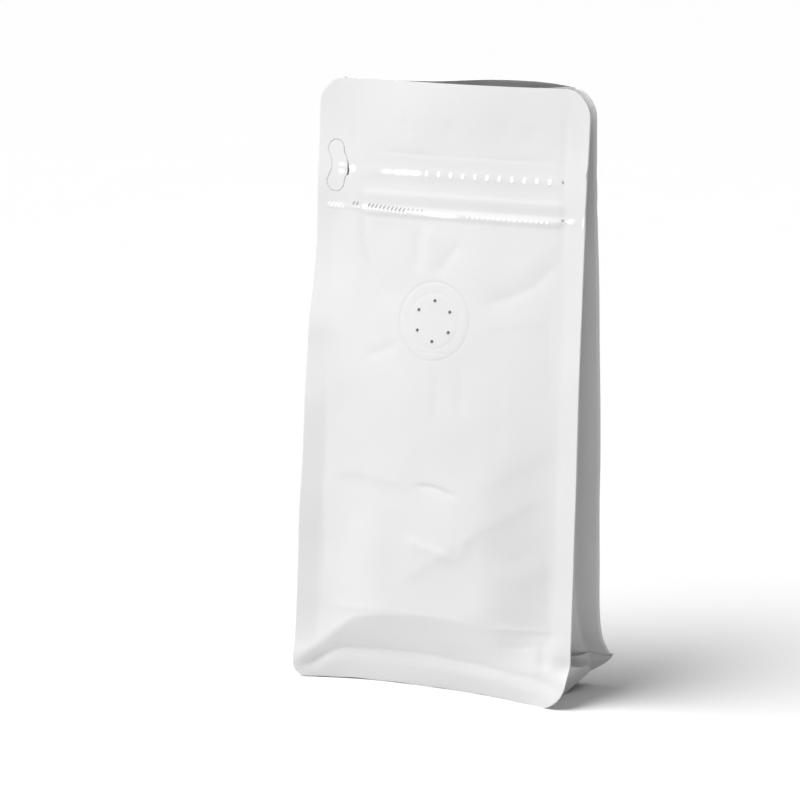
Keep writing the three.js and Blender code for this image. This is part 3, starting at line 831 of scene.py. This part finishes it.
# painted shade: the base colour is painted darker along the cut edges of the tab, the ring, the holes
# and the slit, where their grooves lie in shade
x, y, z = places(bm)
tabCut = bell(tabDistance(x, z), 0, tab["cut"] * cutShade["tabSharp"])
ringShade = bell(np.hypot(x - valve["x"], z - valve["z"]), valve["radius"] + cutShade["ringOut"],
               cutShade["ringWide"])
holeShade = sum(1 - smoothStep(np.hypot(x - hx, z - hz), *cutShade["holeEdge"]) for hx, hz in holeCentres())
cuts = [cutShade["tab"] * tabCut, cutShade["ring"] * ringShade, holeShade, slitShare(x, z)]
frontPanel = finished("front_panel", bm, [filmMarked, foilLining], ["pouch"])
mark(frontPanel, "cut", np.clip(np.maximum.reduce(cuts), 0, 1))
# painted highlight on the pressed film
mark(frontPanel, "paintedHighlight", paintedHighlightMask(x, z))
thicken(frontPanel)
print("front panel made", len(frontPanel.data.polygons))

# Back panel.
backRows = rowsOf((0, 16, 0.42), (16, 30, 1.2), (30, cornerTop, 1.8))[:-1] + topRows
bm = sheetOf(finColumns(1.7), backRows)
x, y, z = places(bm)
x = cornerClamp(x, z, pouch["tuckedCorner"], pouch["backCorner"])
y = backSkin(x, z)
moveTo(bm, x, y, liftHem(x, y, backRim(x, z)))
bmesh.ops.remove_doubles(bm, verts=bm.verts, dist=mergeWithin)
faceOut(bm, (0, 1, 0))
backPanel = finished("back_panel", bm, [filmWhite, foilLining], ["pouch"])
thicken(backPanel)
print("back panel made", len(backPanel.data.polygons))

# Gussets.
gussetRows = rowsOf((0, 22, 0.42), (22, 32, 0.8), (32, cornerTop, 1.8))[:-1] + topRows
stripShare = pouch["seal"] / (pouch["seal"] + pouch["gusset"])
ofStrip = [1 - stripShare * (1 - i / sideFold["strip"]) for i in range(sideFold["strip"] + 1)]
ofFold = [(1 - stripShare) * math.sin(math.pi / 2 * i / sideFold["columns"])
          for i in range(sideFold["columns"])]
gussetColumns = [-u for u in reversed(ofFold[1:] + ofStrip)] + ofFold + ofStrip
for hand, name in ((1, "gusset_right"), (-1, "gusset_left")):
    bm = sheetOf(gussetColumns, gussetRows)
    u, y, z = places(bm)
    x, y = gussetPoint(hand, u, z)
    nearFront = y < (frontSkin(x, z, False) + backSkin(x, z)) / 2
    level = np.where(nearFront, frontHem(x, z), backRim(x, z))
    # pressed flat, the fold ends a little below the rim
    level = level - sideFold["foldDrop"] * (1 - smoothStep(np.abs(u), *sideFold["dropAcross"])) \
        * smoothStep(z, sideFold["dropFrom"], topZ)
    moveTo(bm, x, y, liftHem(x, y, level))
    bmesh.ops.remove_doubles(bm, verts=bm.verts, dist=mergeWithin)
    faceOut(bm, (hand, 0, 0))
    gusset = finished(name, bm, [filmWhite, foilLining], ["pouch"])
    thicken(gusset)
    print(name, "made", len(gusset.data.polygons))

# Bottom panel: welded inside the skirt and creased up along its middle.
bottom = {"rise": 4.0, "hem": 0.4, "inset": 0.2, "step": 0.9, "flange": 8, "across": 24,
          "gap": 0.32, "underValley": 1.2}
ofFlange = [i / bottom["flange"] for i in range(bottom["flange"])]
ofFloor = [1 + i / bottom["across"] for i in range(bottom["across"])]
half = sealLine - bottom["inset"]
bm = sheetOf(rowsOf((-half, half, bottom["step"])),
             ofFlange + ofFloor + [2 + s for s in ofFlange] + [3])
# v is 0 to 1 up the front flange, 1 to 2 over the floor and 2 to 3 down the back flange
x, y, v = places(bm)
weld = np.minimum(pouch["skirt"], valleyLine(x) - bottom["underValley"])
weld = blend(weld, pouch["skirt"], np.clip(v - 1, 0, 1))
level = np.where(v < 1, blend(bottom["hem"], weld, v), weld)
level = np.where(v > 2, blend(pouch["skirt"], bottom["hem"], v - 2), level)
share = np.clip(v - 1, 0, 1)
frontIn = frontSkin(x, level, False) + bottom["gap"]
backIn = backSkin(x, level) - bottom["gap"]
z = level + bottom["rise"] * (1 - np.abs(2 * share - 1)) * (v > 1) * (v < 2)
y = blend(frontIn, backIn, share)
z = np.where(v <= 1, frontHem(x, z), z)
moveTo(bm, x, y, liftHem(x, y, z))
faceOut(bm, (0, 0, -1))
bottomPanel = finished("bottom_panel", bm, [filmWhite, foilLining], ["pouch"])
thicken(bottomPanel)
print("bottom panel made")


# Pieces that lie on the front panel.
def settle(bm):
    # y is the depth below the film's face until here
    x, y, z = places(bm)
    moveTo(bm, x, y + frontSkin(x, z, False), z)


def lens(bm, x, z, halfX, halfZ, proud, turn=0, material=0):
    # a low oval bump, standing proud of the film
    bm.faces.ensure_lookup_table()
    before = len(bm.faces)
    made = bmesh.ops.create_uvsphere(bm, u_segments=12, v_segments=6, radius=1)["verts"]
    shape = Matrix.Translation((x, 0, z)) @ Matrix.Rotation(math.radians(turn), 4, "Y") \
        @ Matrix.Diagonal((halfX, proud, halfZ, 1)) @ Matrix.Rotation(math.pi / 2, 4, "X")
    bmesh.ops.transform(bm, matrix=shape, verts=made)
    bm.faces.ensure_lookup_table()
    for face in bm.faces[before:]:
        face.material_index = material


# the strip is a tape behind the film, and its perforations show as pressed dots with a near white base
# colour as painted highlights; its dark end mark is painted shade
strip = {"left": -33.4, "right": 40.0, "z": 162.3, "half": 1.2, "behind": 0.24, "thick": 0.15,
         "columnStep": 1.2, "rowStep": 0.6, "dots": 11, "firstDot": -7.9, "pitch": 4.33, "fall": 0.01,
         "dotHalfX": 0.74, "dotHalfZ": 1.08, "proud": 0.17, "slant": 5,
         "endMark": (39.7, 162.4, 0.34, 0.6, 0.10, -20)}
bm = slab(rowsOf((strip["left"], strip["right"], strip["columnStep"])),
          rowsOf((strip["z"] - strip["half"], strip["z"] + strip["half"], strip["rowStep"])),
          strip["thick"], strip["behind"])
for index in range(strip["dots"]):
    lens(bm, strip["firstDot"] + index * strip["pitch"], strip["z"] - strip["fall"] * index,
         strip["dotHalfX"], strip["dotHalfZ"], strip["proud"], strip["slant"], 1)
lens(bm, *strip["endMark"], 2)
bmesh.ops.recalc_face_normals(bm, faces=bm.faces)
settle(bm)
finished("tear_strip_tape", bm, [filmWhite, paintedGlintWhite, paintedShadeGrey], ["tear_strip"])
print("tear strip made")

# Pull tab: rings of points from its rounded edge to its middle, as (share of the way, depth).
tabMesh = {"middle": (-40.6, 163.0), "turns": 150, "halvings": 34, "farthest": 12.0, "margin": 0.04,
           "edge": [(1.0, tab["plate"]), (1.0, 0.05), (0.99, 0.012)],
           "flat": [0.97, 0.9, 0.78, 0.64, 0.5, 0.36, 0.22, 0.1, 0.0]}


def tabPoint(angle, reach):
    middleX, middleZ = tabMesh["middle"]
    return middleX + math.cos(angle) * reach, middleZ + math.sin(angle) * reach


def tabEdge(angle):
    # how far the outline is from the tab's middle
    near, far = 0.0, tabMesh["farthest"]
    for halving in range(tabMesh["halvings"]):
        middle = (near + far) / 2
        inside = tabDistance(*tabPoint(angle, middle)) < -tabMesh["margin"]
        near, far = (middle, far) if inside else (near, middle)
    return near


turns = tabMesh["turns"]
rings = tabMesh["edge"] + [(share, 0.0) for share in tabMesh["flat"]]
bm = sheetOf([i / turns for i in range(turns + 1)], list(range(len(rings))))
reach = [tabEdge(2 * math.pi * i / turns) for i in range(turns)]
for v in bm.verts:
    index = round(v.co.x * turns) % turns
    share, depth = rings[round(v.co.z)]
    pointX, pointZ = tabPoint(2 * math.pi * index / turns, reach[index] * share)
    v.co = (pointX, depth, pointZ)
bmesh.ops.remove_doubles(bm, verts=bm.verts, dist=mergeWithin / 2)
faceOut(bm, (0, -1, 0))
settle(bm)
x, y, z = places(bm)
pullTab = finished("pull_tab_film", bm, [filmMarked, foilLining], ["pull_tab"])
# painted highlight round the tab's neck
mark(pullTab, "paintedHighlight", paintedHighlightMask(x, z))
print("pull tab made")

# Hatching pressed into the bead: clear dots, a zigzag at the left end, and dark slanting bars
# that each have a glint beside them. The white bumps are painted highlights, and the dark bars painted
# shade in the knurl.
hatch = {"slant": 34, "proud": 0.18, "dots": 16, "dotFrom": 7.1, "pitch": 1.86, "dotZ": 149.75,
         "dotHalf": (0.50, 0.55),
         "leftCount": 8, "leftFrom": -43.7, "leftPitch": 0.76, "leftZ": (150.95, 150.1),
         "leftHalf": (0.30, 0.62), "leftTurn": (20, -20),
         "darkAt": [-34.4, -33.1, -28.7, -27.3, -25.9, -24.4, -23.0, -21.5, -20.0, -18.6, -17.2, -15.8],
         "darkZ": 151.3, "darkFall": 0.05, "fallFrom": -28, "darkSize": (0.24, 0.78, 0.13),
         "glintX": 0.75, "glintZ": -1.2, "glintSize": (0.26, 0.42, 0.14),
         "faintAt": [-14.2, -12.6, -11.0, -9.3], "faintZ": 150.9, "faintSize": (0.18, 0.42, 0.09),
         # the crushed right end, as for lens
         "right": [(40.1, 150.8, 0.5, 0.5, 0.12, 40, 1), (42.6, 150.5, 0.6, 0.6, 0.2),
                   (43.7, 150.7, 0.5, 0.55, 0.2), (47.35, 150.2, 0.4, 2.0, 0.25, 4)]}
bm = bmesh.new()
for index in range(hatch["dots"]):
    lens(bm, hatch["dotFrom"] + index * hatch["pitch"], hatch["dotZ"], *hatch["dotHalf"], hatch["proud"])
for index in range(hatch["leftCount"]):
    lens(bm, hatch["leftFrom"] + index * hatch["leftPitch"], hatch["leftZ"][index % 2],
         *hatch["leftHalf"], hatch["proud"], hatch["leftTurn"][index % 2])
for x in hatch["darkAt"]:
    z = hatch["darkZ"] - hatch["darkFall"] * (x - hatch["fallFrom"])
    lens(bm, x, z, *hatch["darkSize"], hatch["slant"], 1)
    lens(bm, x + hatch["glintX"], z + hatch["glintZ"], *hatch["glintSize"], hatch["slant"])
for x in hatch["faintAt"]:
    lens(bm, x, hatch["faintZ"], *hatch["faintSize"], hatch["slant"], 1)
for bump in hatch["right"]:
    lens(bm, *bump)
bmesh.ops.recalc_face_normals(bm, faces=bm.faces)
settle(bm)
finished("bead_hatch", bm, [paintedGlintWhite, paintedShadeGrey])
print("bead hatch made")

# Valve behind the film, spun from (radius, depth): a flange, a hub, and a cup with a stud in its back.
valveBody = {"gap": 0.75, "steps": 64, "profile": [
    (0, 0), (11.7, 0), (12.1, 0.25), (12.1, 0.75), (11.7, 1.0), (9.2, 1.0), (8.6, 1.3), (8.4, 2.1),
    (7.9, 2.6), (5.6, 2.6), (5.2, 2.25), (1.6, 2.25), (1.2, 2.5), (0, 2.55)]}
bm = bmesh.new()
spun = [bm.verts.new((r, valveBody["gap"] + depth, 0)) for r, depth in valveBody["profile"]]
edges = [bm.edges.new(pair) for pair in zip(spun, spun[1:])]
bmesh.ops.spin(bm, geom=spun + edges, cent=(0, 0, 0), axis=(0, 1, 0), angle=2 * math.pi,
               steps=valveBody["steps"], use_merge=True)
bmesh.ops.remove_doubles(bm, verts=bm.verts, dist=mergeWithin / 2)
bmesh.ops.translate(bm, vec=(valve["x"], 0, valve["z"]), verts=bm.verts)
bmesh.ops.recalc_face_normals(bm, faces=bm.faces)
x, y, z = places(bm)
moveTo(bm, x, y + frontBare(x, z), z)
finished("valve_body", bm, [valvePlastic], ["degassing_valve"])
print("valve made")

# Zipper tape behind the film, with its two rails.
zipper = {"left": -29.5, "right": 31.0, "low": 146.0, "high": 168.0, "gap": 0.75, "tape": 0.35,
          "columnStep": 1.2, "rowStep": 1.0, "railLeft": -23.0, "railRight": 22.0, "railTall": 1.5,
          "railDepth": 1.5, "railSunk": 0.1, "railRound": 0.35, "railCuts": 30, "apart": 2.4}
railMiddle = (zipper["railLeft"] + zipper["railRight"]) / 2
railY = zipper["gap"] + zipper["tape"] + zipper["railDepth"] / 2 - zipper["railSunk"]


def longEdges(bm):
    return [e for e in bm.edges if abs(e.verts[0].co.x - e.verts[1].co.x) > 1]


bm = slab(rowsOf((zipper["left"], zipper["right"], zipper["columnStep"])),
          rowsOf((zipper["low"], zipper["high"], zipper["rowStep"])), zipper["tape"], zipper["gap"])
for shift in (-1, 1):
    rail = bmesh.new()
    bmesh.ops.create_cube(rail, size=1)
    length = zipper["railRight"] - zipper["railLeft"]
    bmesh.ops.scale(rail, vec=(length, zipper["railDepth"], zipper["railTall"]), verts=rail.verts)
    bmesh.ops.bevel(rail, geom=longEdges(rail), offset=zipper["railRound"], affect="EDGES", segments=3,
                    profile=0.5, material=-1)
    bmesh.ops.subdivide_edges(rail, edges=longEdges(rail), cuts=zipper["railCuts"], use_grid_fill=True)
    railZ = bead["z"] + shift * zipper["apart"] / 2
    bmesh.ops.translate(rail, vec=(railMiddle, railY, railZ), verts=rail.verts)
    bm.from_mesh(meshOf("rail", rail))
bmesh.ops.recalc_face_normals(bm, faces=bm.faces)
x, y, z = places(bm)
moveTo(bm, x, y + frontBare(x, z), z)
finished("zipper_tape_film", bm, [zipperPlastic], ["zipper_tape"])
print("zipper made")

# Floor, light and camera.
stage = {"size": 60.0, "grey": (0.90, 0.90, 0.90, 1), "paler": 0.99, "specular": 0.2, "mottle": 8,
         "grain": 30, "roughness": 0.8, "grainPolish": 0.1, "world": 0.30,
         "sunPower": 3.14, "sunAngle": 46, "sunTurn": -44, "sunRise": 57,
         "softPlace": (-0.03, -0.27, 0.36), "softAim": (0, 0, 0.14), "softSize": 0.16, "softPower": 0.23}
bm = bmesh.new()
bmesh.ops.create_grid(bm, x_segments=1, y_segments=1, size=stage["size"] / 2)
floor = inScene("floor", meshOf("floor", bm))
paper = Finish("floorPaper", Specular_IOR_Level=stage["specular"])
paler = tuple(stage["paler"] * c for c in stage["grey"][:3]) + (1,)
paper.set("Base Color", paper.mix(paper.noise(stage["mottle"]), stage["grey"], paler))
paper.set("Roughness", stage["roughness"] + stage["grainPolish"] * paper.noise(stage["grain"], 2))
floor.data.materials.append(paper.material)

world = bpy.data.worlds.new("studio")
world.use_nodes = True
background = world.node_tree.nodes["Background"].inputs
background["Color"].default_value = (1, 1, 1, 1)
background["Strength"].default_value = stage["world"]
bpy.context.scene.world = world

lamp = bpy.data.lights.new("key", "SUN")
lamp.energy = stage["sunPower"]
lamp.angle = math.radians(stage["sunAngle"])
key = inScene("key", lamp)
turn, rise = math.radians(stage["sunTurn"]), math.radians(stage["sunRise"])
toLamp = Vector((math.sin(turn) * math.cos(rise), -math.cos(turn) * math.cos(rise), math.sin(rise)))
key.rotation_euler = toLamp.to_track_quat("Z", "Y").to_euler()

box = bpy.data.lights.new("softBox", "AREA")
box.shape = "DISK"
box.size = stage["softSize"]
box.energy = stage["softPower"]
soft = inScene("softBox", box)
soft.location = stage["softPlace"]
soft.visible_camera = False
softTurn = (Vector(stage["softPlace"]) - Vector(stage["softAim"])).to_track_quat("Z", "Y")
soft.rotation_euler = softTurn.to_euler()

# The camera of the photo, whose focal length is given in its pixels.
view = {"azimuth": 28.33, "pitch": 10.077, "distance": 1.1711, "aimAcross": -0.01666,
        "aimHeight": 0.091, "focalPixels": 3722.7, "widthPixels": 800, "sensor": 36, "clip": (0.05, 50)}
azimuth, pitch = math.radians(view["azimuth"]), math.radians(view["pitch"])
forward = Vector((-math.sin(azimuth) * math.cos(pitch), math.cos(azimuth) * math.cos(pitch),
                  -math.sin(pitch)))
right = Vector((math.cos(azimuth), math.sin(azimuth), 0))
aim = right * view["aimAcross"] + Vector((0, 0, view["aimHeight"]))
camera = bpy.data.cameras.new("camera")
camera.lens = view["focalPixels"] / view["widthPixels"] * view["sensor"]
camera.sensor_width = view["sensor"]
camera.clip_start, camera.clip_end = view["clip"]
eye = inScene("camera", camera)
eye.location = aim - forward * view["distance"]
eye.rotation_euler = forward.to_track_quat("-Z", "Y").to_euler()
bpy.context.scene.camera = eye
bpy.context.scene.view_settings.view_transform = "Standard"
print("stage made")
